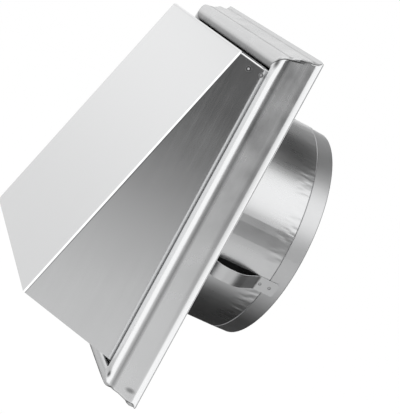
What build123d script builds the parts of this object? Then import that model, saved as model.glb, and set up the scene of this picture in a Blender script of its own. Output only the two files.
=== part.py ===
from build123d import *
import os
from math import cos, radians, sin, tan

# Hooded wall vent in thin stainless sheet for a 150 mm round duct.
# Millimetres. The wall is the plane Y = 0, the duct runs to +Y, the hood stands
# out to -Y, +Z is up. The origin is where the duct's axis meets the wall.

# Sheet thicknesses
frame_sheet = 0.8
hood_sheet = 0.8
collar_sheet = 0.6
clip_sheet = 0.5
flap_sheet = 0.6
bracket_sheet = 1.0

# Round collar for the duct
duct_size = 150.0
collar_reach = 66.9        # wall to the collar's end
collar_flange = 9.0        # its width, flat on the back of the floor
end_band = 12.4
end_band_groove = 0.3
end_band_taper = 0.3
hem_length = 8.0
hem_gap = 0.1
lap_angle = 9.0
lap_width = 5.0
lap_rise = 0.35
lap_start = -12.0

# Square frame: floor, raised bead round it, flared skirt, lip on the wall
floor_margin = 29.4        # from the duct to the foot of the bead
floor_depth = 17.0         # wall to the front face of the floor
bead_width = 8.8
bead_height = 7.6          # crest above the floor
bead_bend = 4.3
floor_bend = 1.2
skirt_start = 0.6          # valley between bead and skirt, in front of the floor
skirt_flare = 17.5         # degrees that the skirt opens towards the wall
skirt_bend = 3.0
lip_bend = 3.0
lip_width = 12.0

# Hood: sloping face, nearly level top, two sides, open underneath
hood_side_gap = 1.3        # to the foot of the bead, left and right
hood_end_gap = 4.5         # to the foot of the bead, above and below
hood_top_depth = 43.4      # wall to the face's upper edge
hood_top_rise = 3.5        # face's upper edge above the top of the hood's base
hood_bottom_depth = 91.1   # wall to the face's lower edge
hood_bottom_rise = 18.9    # face's lower edge above the foot of the hood's base
hood_bend = 1.8            # outside radius of the folds
hood_flange = 10.0
flange_relief = 0.6
corner_tab_height = 11.0
corner_tab_gap = 2.5
weld_dot_radius = 1.1
weld_dot_depth = 0.25
weld_dot_first = 9.4       # behind the face's upper edge
weld_dot_pitch = 8.8
weld_dot_drop = 5.6        # below the top of the side panel
snap_spacing = 120.0
snap_length = 10.0
snap_width = 2.6
snap_depth = 3.4           # in front of the floor
snap_gap = 0.3             # to the bead

# Bow springs on the collar
clip_count = 3
clip_angle = -17.5         # of the first, about the duct's axis, from +X towards +Z
clip_width = 10.2
clip_tab = 15.0
clip_tab_end = 62.0        # wall to the rear edge of the tab
clip_bow_length = 41.0
clip_bow_height = 8.3
clip_bow_ramp = 13.0
clip_bow_bend = 18.0
clip_root_bend = 5.0
clip_foot = 3.5
clip_foot_bend = 2.5
clip_corner = 1.0
clip_seat_gap = 0.02
clip_dot_radius = 0.9
clip_dot_depth = 0.2
clip_dot_first = 3.0       # behind the tab's front edge
clip_dot_pitch = 7.0
same_length = 0.01         # lengths this close count as equal

# Gravity flap, its seal and its hinge
seal_thickness = 5.0
seal_inset = 1.0           # outside the duct's bore
seal_width = 5.5
flap_overlap = 3.6         # of the flap's rim over the seal
flap_seat_gap = 0.3
flap_dish_margin = 22.0    # from the flap's rim to the foot of its raised centre
flap_dish_slope = 5.0
flap_dish_rise = 2.0
hinge_rise = 5.0           # pin's axis above the flap's rim
pin_diameter = 3.0
pin_fit = 0.1              # radial, in the flap's knuckles
pin_head = 4.6
pin_head_thickness = 0.8
pin_end_play = 0.3
knuckle_length = 18.0
knuckle_play = 0.6         # to the bracket beside it
knuckle_slit = 0.6
knuckle_notch = 2.0        # between the knuckles, below them
ear_inset = 22.0           # from the duct's side to the inner face of an ear
ear_height = 10.0
ear_nose = 3.0             # in front of the pin's axis
ear_corner = 2.5
ear_fit = 0.08             # radial, round the pin
bracket_bend = 1.5
bracket_foot = 12.0
rivet_diameter = 3.0
rivet_fit = 0.05
rivet_head = 6.0
rivet_head_height = 1.1
rivet_rim = 0.7            # chamfer round the head
rivet_tail = 4.4
rivet_tail_height = 1.4

# Screw holes in the floor's corners
screw_hole = 4.6
screw_inset = 9.1          # from the hood's flange

# Places worked out from the sizes above
duct_radius = duct_size / 2
bore_radius = duct_radius - collar_sheet
floor_front = -floor_depth
floor_back = floor_front + frame_sheet
bead_inner = duct_radius + floor_margin
bead_outer = bead_inner + bead_width
bead_crest = floor_front - bead_height
hood_half = bead_inner - hood_side_gap
hood_top = bead_inner - hood_end_gap
hood_foot = -hood_top
face_top = (-hood_top_depth, hood_top + hood_top_rise)
face_bottom = (-hood_bottom_depth, hood_foot + hood_bottom_rise)
seal_inner = bore_radius + seal_inset
flap_radius = seal_inner + flap_overlap
flap_back = floor_front - seal_thickness - flap_seat_gap
flap_front = flap_back - flap_sheet
pin_radius = pin_diameter / 2
knuckle_inner = pin_radius + pin_fit
knuckle_outer = knuckle_inner + flap_sheet
hinge_depth = flap_front + knuckle_outer
hinge_height = flap_radius + hinge_rise
ear_inner = duct_radius - ear_inset
rivet_x = ear_inner + bracket_foot / 2
screw_half = hood_half - hood_flange - screw_inset
clip_root = clip_tab_end - clip_tab
clip_seat = duct_radius + clip_seat_gap
bow_end = clip_root - clip_bow_length
clip_angles = [clip_angle + 360 * index / clip_count for index in range(clip_count)]
os.makedirs("parts", exist_ok=True)


def roof_height(depth):
    """Z of the hood's top sheet, outside, at a place along Y."""
    share = (depth - face_top[0]) / (floor_front - face_top[0])
    return face_top[1] + share * (hood_top - face_top[1])


def outward(angle):
    """Unit vector away from the duct's axis at an angle about it."""
    return Vector(cos(radians(angle)), 0, sin(radians(angle)))


def tangent_plane(angle, radius):
    """Plane that touches a cylinder round the duct's axis: x is +Y, z points away."""
    return Plane(origin=outward(angle) * radius, x_dir=(0, 1, 0), z_dir=outward(angle))


# Frame: one side's section, from the floor over the bead to the lip, mitred four times
section_start = bead_inner - 2 * floor_bend
lip_outer = bead_outer + (floor_depth + skirt_start) * tan(radians(skirt_flare))
with BuildPart() as wall_frame:
    with BuildSketch(Plane.XY) as border_section:
        with BuildLine() as border_line:
            FilletPolyline(
                (section_start, floor_front),
                (bead_inner, floor_front),
                (bead_inner, bead_crest),
                (bead_outer, bead_crest),
                (bead_outer, floor_front - skirt_start),
                (lip_outer, 0),
                (lip_outer - lip_width, 0),
                radius=[floor_bend, bead_bend, bead_bend, skirt_bend, lip_bend],
            )
            offset(amount=frame_sheet, side=Side.LEFT)
        make_face()
    extrude(amount=2 * lip_outer, both=True)
    split(bisect_by=Plane(origin=(0, 0, 0), z_dir=(1, 0, 1)), keep=Keep.TOP)
    split(bisect_by=Plane(origin=(0, 0, 0), z_dir=(1, 0, -1)), keep=Keep.TOP)
    border_side = wall_frame.part
    for turn in (90, 180, 270):
        add(border_side.rotate(Axis.Y, turn))
    with BuildSketch(Plane.XZ.offset(-floor_back)) as floor_plate:
        Rectangle(2 * section_start, 2 * section_start)
        Circle(bore_radius, mode=Mode.SUBTRACT)
        with GridLocations(2 * screw_half, 2 * screw_half, 2, 2):
            Circle(screw_hole / 2, mode=Mode.SUBTRACT)
        with Locations((-rivet_x, hinge_height), (rivet_x, hinge_height)):
            Circle(rivet_diameter / 2 + rivet_fit, mode=Mode.SUBTRACT)
    extrude(amount=frame_sheet)
wall_frame.part.label = "wall_frame"
export_step(wall_frame.part, "parts/wall_frame.step")

# Hood: one half of the block it encloses, rounded at its folds and hollowed, then mirrored
tab_front = face_top[0] + hood_sheet + corner_tab_gap
tab_back = floor_front - corner_tab_gap
dot_x = hood_half - weld_dot_depth
dot_y = face_top[0] + weld_dot_first
dot_z = roof_height(dot_y + weld_dot_pitch / 2) - weld_dot_drop
snap_y = floor_front - snap_depth
snap_height = hood_side_gap - snap_gap
sideways = (0, 90, 0)
with BuildPart() as hood:
    with BuildSketch(Plane.YZ) as hood_profile:
        with BuildLine() as hood_outline:
            Polyline(face_top, (floor_front, hood_top), (floor_front, hood_foot), face_bottom,
                     close=True)
        make_face()
    extrude(amount=hood_half)
    sloping_face = hood.faces().sort_by(Axis.Y)[0]
    roof = hood.faces().sort_by(Axis.Z)[-1]
    side_fold = sloping_face.edges().sort_by(Axis.X)[-1]
    top_fold = sloping_face.edges().sort_by(Axis.Z)[-1]
    roof_fold = roof.edges().sort_by(Axis.X)[-1]
    fillet([side_fold, top_fold, roof_fold], radius=hood_bend)
    open_middle = hood.faces().sort_by(Axis.X)[0]
    open_back = hood.faces().sort_by(Axis.Y)[-1]
    open_underside = hood.faces().sort_by(Axis.Z)[0]
    offset(amount=-hood_sheet, openings=[open_middle, open_back, open_underside])
    # Base flanges turned inwards on the floor, stopped short of each other at the corner
    with BuildSketch(Plane.XZ.offset(floor_depth)) as base_flanges:
        with Locations((hood_half - hood_flange, hood_foot)):
            Rectangle(hood_flange, 2 * hood_top, align=(Align.MIN, Align.MIN))
        with Locations((0, hood_top - hood_flange)):
            Rectangle(hood_half - hood_flange - flange_relief, hood_flange,
                      align=(Align.MIN, Align.MIN))
    extrude(amount=hood_sheet)
    # Tab of the top, folded down inside the side panel and spot welded to it
    with BuildSketch(Plane.YZ.offset(hood_half - 2 * hood_sheet)) as corner_tab:
        with BuildLine() as tab_outline:
            Polyline((tab_front, roof_height(tab_front) - hood_sheet / 2),
                     (tab_back, roof_height(tab_back) - hood_sheet / 2),
                     (tab_back, roof_height(tab_back) - corner_tab_height),
                     (tab_front, roof_height(tab_front) - corner_tab_height), close=True)
        make_face()
    extrude(amount=1.5 * hood_sheet)
    with Locations((dot_x, dot_y, dot_z), (dot_x, dot_y + weld_dot_pitch, dot_z)):
        Cylinder(weld_dot_radius, hood_sheet, rotation=sideways,
                 align=(Align.CENTER, Align.CENTER, Align.MIN), mode=Mode.SUBTRACT)
    # Short pressed ribs that snap under the bead
    with Locations((hood_half, snap_y, -snap_spacing / 2), (hood_half, snap_y, snap_spacing / 2)):
        Box(snap_height, snap_width, snap_length, align=(Align.MIN, Align.CENTER, Align.CENTER))
    with Locations((hood_half - hood_sheet, snap_y, -snap_spacing / 2),
                   (hood_half - hood_sheet, snap_y, snap_spacing / 2)):
        Box(snap_height, snap_width - hood_sheet, snap_length - hood_sheet,
            align=(Align.MIN, Align.CENTER, Align.CENTER), mode=Mode.SUBTRACT)
    mirror(about=Plane.YZ)
hood.part.label = "hood"
export_step(hood.part, "parts/hood.step")

# Collar: flanged at the front, grooved and hemmed at the end, with a lap seam
groove_y = collar_reach - end_band
hem_bend = collar_sheet + hem_gap / 2
tip_radius = duct_radius - end_band_taper
with BuildPart() as collar:
    with BuildSketch(Plane.XY) as collar_section:
        with BuildLine() as collar_line:
            start = (duct_radius + collar_flange, floor_back)
            outer_foot = (duct_radius, floor_back + collar_sheet)
            Polyline((bore_radius, floor_back), start,
                     (duct_radius + collar_flange, floor_back + collar_sheet), outer_foot,
                     (duct_radius, groove_y - end_band_groove),
                     (duct_radius - end_band_groove, groove_y),
                     (duct_radius, groove_y + end_band_groove),
                     (tip_radius, collar_reach - hem_bend / 2),
                     (tip_radius - hem_bend / 2, collar_reach),
                     (tip_radius - 2 * hem_bend, collar_reach),
                     (tip_radius - 2 * hem_bend, collar_reach - hem_length),
                     (bore_radius - end_band_taper, collar_reach - hem_length),
                     (bore_radius, groove_y - end_band_groove),
                     (bore_radius, floor_back))
        make_face()
    revolve(axis=Axis.Y)
    with BuildSketch(tangent_plane(lap_angle, duct_radius - collar_sheet / 2)) as lap:
        with Locations(((lap_start + groove_y - end_band_groove) / 2, 0)):
            Rectangle(groove_y - end_band_groove - lap_start, lap_width)
    extrude(amount=collar_sheet / 2 + lap_rise)
collar.part.label = "collar"
export_step(collar.part, "parts/collar.step")

# Bow springs: a flat tab spot welded to the collar, a bow and a foot that slides
with BuildPart() as clip_blank:
    with BuildSketch(Plane.XY) as clip_section:
        with BuildLine() as clip_line:
            FilletPolyline(
                (clip_seat, clip_tab_end),
                (clip_seat, clip_root),
                (clip_seat + clip_bow_height, clip_root - clip_bow_ramp),
                (clip_seat + clip_bow_height, bow_end + clip_bow_ramp),
                (clip_seat, bow_end),
                (clip_seat, bow_end - clip_foot),
                radius=[clip_root_bend, clip_bow_bend, clip_bow_bend, clip_foot_bend],
            )
            offset(amount=clip_sheet, side=Side.LEFT)
        make_face()
    extrude(amount=clip_width / 2, both=True)
    short_edges = clip_blank.edges().filter_by(
        lambda edge: abs(edge.length - clip_sheet) < same_length)
    chamfer(short_edges, length=clip_corner)
    dot_x = clip_seat + clip_sheet - clip_dot_depth
    dot_y = clip_root + clip_dot_first
    with Locations((dot_x, dot_y, 0), (dot_x, dot_y + clip_dot_pitch, 0)):
        Cylinder(clip_dot_radius, clip_sheet, rotation=sideways,
                 align=(Align.CENTER, Align.CENTER, Align.MIN), mode=Mode.SUBTRACT)
for index, angle in enumerate(clip_angles):
    with BuildPart() as spring_clip:
        add(clip_blank.part.rotate(Axis.Y, -angle))
    spring_clip.part.label = f"spring_clip_{index + 1}"
    export_step(spring_clip.part, f"parts/spring_clip_{index + 1}.step")

# Soft seal round the mouth of the duct
with BuildPart() as seal_ring:
    with BuildSketch(Plane.XZ.offset(floor_depth)) as seal_section:
        Circle(seal_inner + seal_width)
        Circle(seal_inner, mode=Mode.SUBTRACT)
    extrude(amount=seal_thickness)
seal_ring.part.label = "seal_ring"
export_step(seal_ring.part, "parts/seal_ring.step")

# Flap: flat rim with a raised centre, and a tongue that curls round the pin in two knuckles
tongue_half = ear_inner - knuckle_play
tongue_foot = (flap_radius**2 - tongue_half**2) ** 0.5 - 2 * flap_sheet
dish_foot = flap_radius - flap_dish_margin
with BuildPart() as flap:
    with BuildSketch(Plane.XZ.offset(-flap_back)) as flap_blank:
        Circle(flap_radius)
        with Locations((0, (tongue_foot + hinge_height) / 2)):
            Rectangle(2 * tongue_half, hinge_height - tongue_foot)
        with Locations((0, hinge_height - knuckle_outer - knuckle_notch)):
            Rectangle(2 * (tongue_half - knuckle_length), 2 * knuckle_outer + 2 * knuckle_notch,
                      align=(Align.CENTER, Align.MIN), mode=Mode.SUBTRACT)
        Circle(dish_foot, mode=Mode.SUBTRACT)
    extrude(amount=flap_sheet)
    with BuildSketch(Plane.XY) as dish_section:
        with BuildLine() as dish_line:
            Polyline((0, flap_back - flap_dish_rise),
                     (dish_foot - flap_dish_slope, flap_back - flap_dish_rise),
                     (dish_foot, flap_back), (dish_foot, flap_front),
                     (dish_foot - flap_dish_slope, flap_front - flap_dish_rise),
                     (0, flap_front - flap_dish_rise), close=True)
        make_face()
    revolve(axis=Axis.Y)
    for side in (-1, 1):
        knuckle_middle = side * (tongue_half - knuckle_length / 2)
        with BuildSketch(Plane.YZ.offset(knuckle_middle)) as knuckle_section:
            with Locations((hinge_depth, hinge_height)):
                Circle(knuckle_outer)
                Circle(knuckle_inner, mode=Mode.SUBTRACT)
            with Locations((flap_back, hinge_height)):
                Rectangle(hinge_depth - flap_back - knuckle_slit, knuckle_outer,
                          align=(Align.MIN, Align.MAX), mode=Mode.SUBTRACT)
        extrude(amount=knuckle_length / 2, both=True)
flap.part.label = "flap"
export_step(flap.part, "parts/flap.step")

# Hinge pin with a small head beyond each ear
pin_half = ear_inner + bracket_sheet + pin_end_play
with BuildPart() as hinge_pin:
    with Locations(Location((0, hinge_depth, hinge_height), (0, 90, 0))):
        Cylinder(pin_radius, 2 * pin_half)
    for side in (-1, 1):
        head_middle = side * (pin_half + pin_head_thickness / 2)
        with Locations(Location((head_middle, hinge_depth, hinge_height), (0, 90, 0))):
            Cylinder(pin_head / 2, pin_head_thickness)
hinge_pin.part.label = "hinge_pin"
export_step(hinge_pin.part, "parts/hinge_pin.step")

# Hinge brackets: a riveted foot and an ear that carries the pin, one the mirror of the other
with BuildPart() as hinge_bracket_right:
    with BuildSketch(Plane.XY.offset(hinge_height)) as bracket_section:
        with BuildLine() as bracket_line:
            FilletPolyline((ear_inner + bracket_foot, floor_front), (ear_inner, floor_front),
                           (ear_inner, hinge_depth - ear_nose), radius=bracket_bend)
            offset(amount=bracket_sheet, side=Side.LEFT)
        make_face()
    extrude(amount=ear_height / 2, both=True)
    chamfer(hinge_bracket_right.edges().filter_by(Axis.X).group_by(Axis.Y)[0], length=ear_corner)
    with Locations(Location((ear_inner, hinge_depth, hinge_height), (0, 90, 0))):
        Cylinder(pin_radius + ear_fit, 4 * bracket_sheet, mode=Mode.SUBTRACT)
    with Locations(Location((rivet_x, floor_front, hinge_height), (90, 0, 0))):
        Cylinder(rivet_diameter / 2 + rivet_fit, 4 * bracket_sheet, mode=Mode.SUBTRACT)
hinge_bracket_right.part.label = "hinge_bracket_right"
export_step(hinge_bracket_right.part, "parts/hinge_bracket_right.step")

with BuildPart() as hinge_bracket_left:
    mirror(hinge_bracket_right.part, about=Plane.YZ)
hinge_bracket_left.part.label = "hinge_bracket_left"
export_step(hinge_bracket_left.part, "parts/hinge_bracket_left.step")

# Rivets through the feet of the brackets and the floor
head_back = floor_front - bracket_sheet
forwards = (90, 0, 0)
on_seat = (Align.CENTER, Align.CENTER, Align.MIN)
with BuildPart() as bracket_rivets:
    with Locations((-rivet_x, floor_back, hinge_height), (rivet_x, floor_back, hinge_height)):
        Cylinder(rivet_diameter / 2, floor_back - head_back, rotation=forwards, align=on_seat)
        Cylinder(rivet_tail / 2, rivet_tail_height, rotation=forwards,
                 align=(Align.CENTER, Align.CENTER, Align.MAX))
    with Locations((-rivet_x, head_back, hinge_height), (rivet_x, head_back, hinge_height)):
        Cylinder(rivet_head / 2, rivet_head_height, rotation=forwards, align=on_seat)
    front_rims = bracket_rivets.edges().filter_by(GeomType.CIRCLE).group_by(Axis.Y)[0]
    chamfer(front_rims, length=rivet_rim)
bracket_rivets.part.label = "bracket_rivets"
export_step(bracket_rivets.part, "parts/bracket_rivets.step")
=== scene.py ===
"""Looks of a hooded wall vent in stainless sheet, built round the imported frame."""

import logging
import math
from dataclasses import dataclass, field
from enum import Enum
from typing import Iterable

import bmesh
import bpy
from mathutils import Matrix, Vector


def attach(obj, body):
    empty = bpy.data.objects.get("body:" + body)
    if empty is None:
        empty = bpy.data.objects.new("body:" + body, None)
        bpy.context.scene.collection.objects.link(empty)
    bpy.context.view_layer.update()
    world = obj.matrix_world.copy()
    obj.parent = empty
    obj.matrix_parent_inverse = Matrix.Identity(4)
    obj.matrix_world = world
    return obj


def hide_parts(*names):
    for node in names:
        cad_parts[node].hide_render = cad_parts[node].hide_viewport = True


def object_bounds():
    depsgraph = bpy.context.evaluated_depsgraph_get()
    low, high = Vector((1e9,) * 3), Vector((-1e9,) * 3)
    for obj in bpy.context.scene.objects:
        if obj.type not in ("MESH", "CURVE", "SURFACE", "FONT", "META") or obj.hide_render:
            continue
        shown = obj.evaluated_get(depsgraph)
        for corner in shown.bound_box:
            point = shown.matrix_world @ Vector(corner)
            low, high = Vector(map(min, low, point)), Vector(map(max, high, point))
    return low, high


logging.basicConfig(level=logging.INFO, format="%(name)s: %(message)s")
LOG = logging.getLogger("wall_vent")

MM = 0.001

# shading: faces this nearly parallel to the wall stay flat, and sharper edges stay crisp
FLAT_COSINE = 0.99999
SHARP_ANGLE = 35.0
MERGE_DISTANCE = 0.001 * MM

# collar and springs, as the marks on them measure
COLLAR_RADIUS = 75.0 * MM
HALF_COLLAR_WALL = 0.3 * MM
OUT_OF_REACH = 100.0 * MM
SPRING_ANGLE = math.radians(-17.5)
SPRING_COUNT = 3

# edge of a mark that has no end on its piece, in metres
OPEN = 1.0

# outer planes of the hood: half its width, the upper edge of its face, and two normals
HOOD_HALF = 103.1 * MM
FACE_EDGE = Vector((0.0, -43.4, 103.4)) * MM
FACE_NORMAL = Vector((0.0, -184.4, 47.7)).normalized()
ROOF_NORMAL = Vector((0.0, 3.5, 26.4)).normalized()

# how fast the measure for the frame's upper side falls beside it, and the mean of a noise
TOP_FALL = 8.0
NOISE_MEAN = 0.5

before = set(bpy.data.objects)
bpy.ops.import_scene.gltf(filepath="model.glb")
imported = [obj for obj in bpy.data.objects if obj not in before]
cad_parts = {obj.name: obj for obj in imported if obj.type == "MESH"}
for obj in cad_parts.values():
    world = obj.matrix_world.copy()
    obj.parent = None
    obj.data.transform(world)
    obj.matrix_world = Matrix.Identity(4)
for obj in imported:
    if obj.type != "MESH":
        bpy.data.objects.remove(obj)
CAD_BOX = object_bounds()


class Along(Enum):
    """Direction in which a sheet was rolled, as the axis of its grain."""

    X = (0.02, 1.0, 1.0)
    Y = (1.0, 0.02, 1.0)
    Z = (1.0, 1.0, 0.02)
    ROUND = (1.0, 1.0, 1.0)


class Across(Enum):
    """What a mark's first coordinate measures on a piece."""

    SQUARE = "distance from the vent's middle, square"
    SPRING = "distance from the middle of the nearest spring, round the collar's outside"
    HEIGHT = "height"
    TOP = "height, but less beside the upper side of the frame"
    WIDTH = "distance from the vent's middle, sideways"
    MITRE = "how much farther a place lies sideways than above or below the vent's middle"
    FOLD = "depth under the second nearest of the hood's outer planes, so small only at its folds"


def new_group(name: str, inputs: dict[str, float], outputs: Iterable[str]) -> bpy.types.ShaderNodeTree:
    """Starts a shader node group with float inputs and outputs.

    Args:
        name: Name of the group.
        inputs: Name and default of each input value.
        outputs: Names of the output values.

    Returns:
        The empty group with its sockets and its input and output nodes.
    """
    tree = bpy.data.node_groups.new(name, "ShaderNodeTree")
    for label, default in inputs.items():
        socket = tree.interface.new_socket(label, in_out="INPUT", socket_type="NodeSocketFloat")
        socket.default_value = default
    for label in outputs:
        tree.interface.new_socket(label, in_out="OUTPUT", socket_type="NodeSocketFloat")
    tree.nodes.new("NodeGroupInput").name = "start"
    tree.nodes.new("NodeGroupOutput").name = "end"
    return tree


@dataclass
class Wiring:
    """Places nodes in one tree and joins them."""

    tree: bpy.types.ShaderNodeTree

    def node(self, kind: str, **settings: object) -> bpy.types.ShaderNode:
        """Adds a node and sets its properties.

        Args:
            kind: Type name of the node.
            **settings: Properties of the node.

        Returns:
            The new node.
        """
        made = self.tree.nodes.new(kind)
        for name, value in settings.items():
            setattr(made, name, value)
        return made

    def feed(self, source: object, socket: bpy.types.NodeSocket) -> None:
        """Links a socket to an input, or sets the input to a plain value.

        Args:
            source: Socket or plain value.
            socket: The input.
        """
        if isinstance(source, bpy.types.NodeSocket):
            self.tree.links.new(source, socket)
        else:
            socket.default_value = source

    def maths(self, operation: str, *values: object, clamp: bool = False) -> bpy.types.NodeSocket:
        """Adds a Math node.

        Args:
            operation: Name of the operation.
            *values: Sockets or numbers for its inputs.
            clamp: Whether the result stays between 0 and 1.

        Returns:
            The result's socket.
        """
        made = self.node("ShaderNodeMath", operation=operation, use_clamp=clamp)
        for value, socket in zip(values, made.inputs):
            self.feed(value, socket)
        return made.outputs[0]

    def vector_maths(self, operation: str, *values: object) -> bpy.types.NodeSocket:
        """Adds a Vector Math node.

        Args:
            operation: Name of the operation.
            *values: Sockets or vectors for its inputs.

        Returns:
            The result's socket, a number for a length or a dot product.
        """
        made = self.node("ShaderNodeVectorMath", operation=operation)
        for value, socket in zip(values, made.inputs):
            self.feed(value, socket)
        return made.outputs["Value" if operation in ("LENGTH", "DOT_PRODUCT") else "Vector"]

    def fade(self, value: object, low: float, high: float, start: float = 0.0,
             end: float = 1.0) -> bpy.types.NodeSocket:
        """Maps a value smoothly from one range to another.

        Args:
            value: Socket to map.
            low: Value that gives start.
            high: Value that gives end.
            start: Result at low.
            end: Result at high.

        Returns:
            The result's socket.
        """
        made = self.node("ShaderNodeMapRange", interpolation_type="SMOOTHSTEP")
        for number, socket in zip((value, low, high, start, end), made.inputs):
            self.feed(number, socket)
        return made.outputs[0]

    def mix(self, share: object, first: object, last: object) -> bpy.types.NodeSocket:
        """Mixes two numbers.

        Args:
            share: Share of the last one.
            first: Result at a share of 0.
            last: Result at a share of 1.

        Returns:
            The result's socket.
        """
        made = self.node("ShaderNodeMix")
        for value, place in ((share, 0), (first, 2), (last, 3)):
            self.feed(value, made.inputs[place])
        return made.outputs[0]

    def noise(self, vector: object, scale: float, detail: float,
              roughness: float = 0.5) -> bpy.types.NodeSocket:
        """Adds a noise texture and returns its value.

        Args:
            vector: Socket with the place.
            scale: Waves per metre.
            detail: Octaves.
            roughness: Share of the fine octaves.

        Returns:
            The noise value's socket, from 0 to 1.
        """
        made = self.node("ShaderNodeTexNoise")
        settings = {"Vector": vector, "Scale": scale, "Detail": detail, "Roughness": roughness}
        for name, value in settings.items():
            self.feed(value, made.inputs[name])
        return made.outputs["Fac"]

    def parts(self, place: bpy.types.NodeSocket) -> tuple[bpy.types.NodeSocket, ...]:
        """Splits a place.

        Args:
            place: Socket with the place.

        Returns:
            The sockets of its X, Y and Z.
        """
        made = self.node("ShaderNodeSeparateXYZ")
        self.feed(place, made.inputs[0])
        return tuple(made.outputs)

    def depth(self, place: bpy.types.NodeSocket) -> bpy.types.NodeSocket:
        """Y of a place."""
        return self.parts(place)[1]

    def under_plane(self, place: bpy.types.NodeSocket, normal: Vector) -> bpy.types.NodeSocket:
        """Depth of a place under a plane through the upper edge of the hood's face.

        Args:
            place: Socket with the place.
            normal: The plane's outward normal.

        Returns:
            The depth's socket, in metres.
        """
        dot = self.vector_maths("DOT_PRODUCT", place, normal)
        return self.maths("SUBTRACT", normal.dot(FACE_EDGE), dot)

    def round_collar(self, place: bpy.types.NodeSocket) -> bpy.types.NodeSocket:
        """Distance round the collar's outside from the middle of the nearest spring.

        Args:
            place: Socket with the place.

        Returns:
            The distance's socket, in metres. Inside the collar it is out of a narrow mark's reach.
        """
        sideways, _, height = self.parts(place)
        turn = self.maths("SUBTRACT", self.maths("ARCTAN2", height, sideways), SPRING_ANGLE)
        share = math.pi / SPRING_COUNT
        turn = self.maths("ABSOLUTE", self.maths("WRAP", turn, share, -share))
        radius = self.vector_maths("LENGTH", self.vector_maths("MULTIPLY", place, (1.0, 0.0, 1.0)))
        inside = self.maths("LESS_THAN", radius, COLLAR_RADIUS - HALF_COLLAR_WALL)
        return self.maths("MULTIPLY_ADD", turn, COLLAR_RADIUS, self.maths("MULTIPLY", inside, OUT_OF_REACH))

    def across(self, place: bpy.types.NodeSocket, kind: Across) -> bpy.types.NodeSocket:
        """Measures a place across a piece.

        Args:
            place: Socket with the place.
            kind: What is measured.

        Returns:
            The distance's socket, in metres.
        """
        if kind is Across.SPRING:
            return self.round_collar(place)
        sideways, _, height = self.parts(place)
        if kind is Across.HEIGHT:
            return height
        aside = self.maths("ABSOLUTE", sideways)
        if kind is Across.WIDTH:
            return aside
        if kind is Across.TOP:
            beside = self.maths("MAXIMUM", self.maths("SUBTRACT", aside, height), 0.0)
            return self.maths("MULTIPLY_ADD", beside, -TOP_FALL, height)
        if kind is Across.FOLD:
            side = self.maths("SUBTRACT", HOOD_HALF, aside)
            face, roof = (self.under_plane(place, normal) for normal in (FACE_NORMAL, ROOF_NORMAL))
            least, most = self.maths("MINIMUM", side, face), self.maths("MAXIMUM", side, face)
            return self.maths("MAXIMUM", least, self.maths("MINIMUM", most, roof))
        upright = self.maths("ABSOLUTE", height)
        return self.maths("SUBTRACT" if kind is Across.MITRE else "MAXIMUM", aside, upright)


def new_material(name: str) -> tuple[bpy.types.Material, Wiring, bpy.types.ShaderNode]:
    """Starts a material.

    Args:
        name: Its name.

    Returns:
        The material, the wiring of its nodes and its shader.
    """
    material = bpy.data.materials.new(name)
    material.use_nodes = True
    return material, Wiring(material.node_tree), material.node_tree.nodes["Principled BSDF"]


def new_object(name: str, data: bpy.types.ID) -> bpy.types.Object:
    """Puts a mesh, a lamp or a camera into the scene.

    Args:
        name: Name of the object.
        data: What it shows.

    Returns:
        The object.
    """
    made = bpy.data.objects.new(name, data)
    bpy.context.scene.collection.objects.link(made)
    return made


@dataclass(frozen=True)
class PaintedLightBand:
    """A soft-edged band on a sheet, painted darker as shade or brighter as a highlight, and sometimes duller
    than the rest.

    Attributes:
        across: What low and high measure.
        low: Inner edge.
        high: Outer edge.
        front: Edge nearest the viewer, as a Y.
        back: Edge nearest the wall, as a Y.
        soft: Width of the border.
        tone: Factor on the metal's reflectance inside the band, below 1 for painted shade and above 1 for a
            painted highlight.
        rough: Roughness added inside the band.
        upper: Height at which the band has run out.
        running: Length over which it runs out below there.
    """

    across: Across
    low: float
    high: float
    front: float
    back: float
    soft: float
    tone: float
    rough: float = 0.0
    upper: float = OPEN
    running: float = 0.1

    def masks(self, wires: Wiring, place: bpy.types.NodeSocket) -> tuple[bpy.types.NodeSocket, ...]:
        """Builds the band's masks.

        Args:
            wires: The material's wiring.
            place: Socket with the place on the piece.

        Returns:
            The masks of its tone and of its roughness, here the same, 1 inside the band.
        """
        far = wires.across(place, self.across)
        depth = wires.depth(place)
        half = self.soft / 2
        sides = wires.maths("MULTIPLY", wires.fade(far, self.low - half, self.low + half),
                            wires.fade(far, self.high - half, self.high + half, 1.0, 0.0))
        ends = wires.maths("MULTIPLY", wires.fade(depth, self.front - half, self.front + half),
                           wires.fade(depth, self.back - half, self.back + half, 1.0, 0.0))
        height = wires.across(place, Across.HEIGHT)
        below = wires.fade(height, self.upper - self.running, self.upper, 1.0, 0.0)
        mask = wires.maths("MULTIPLY", below, wires.maths("MULTIPLY", sides, ends))
        return mask, mask


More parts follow.
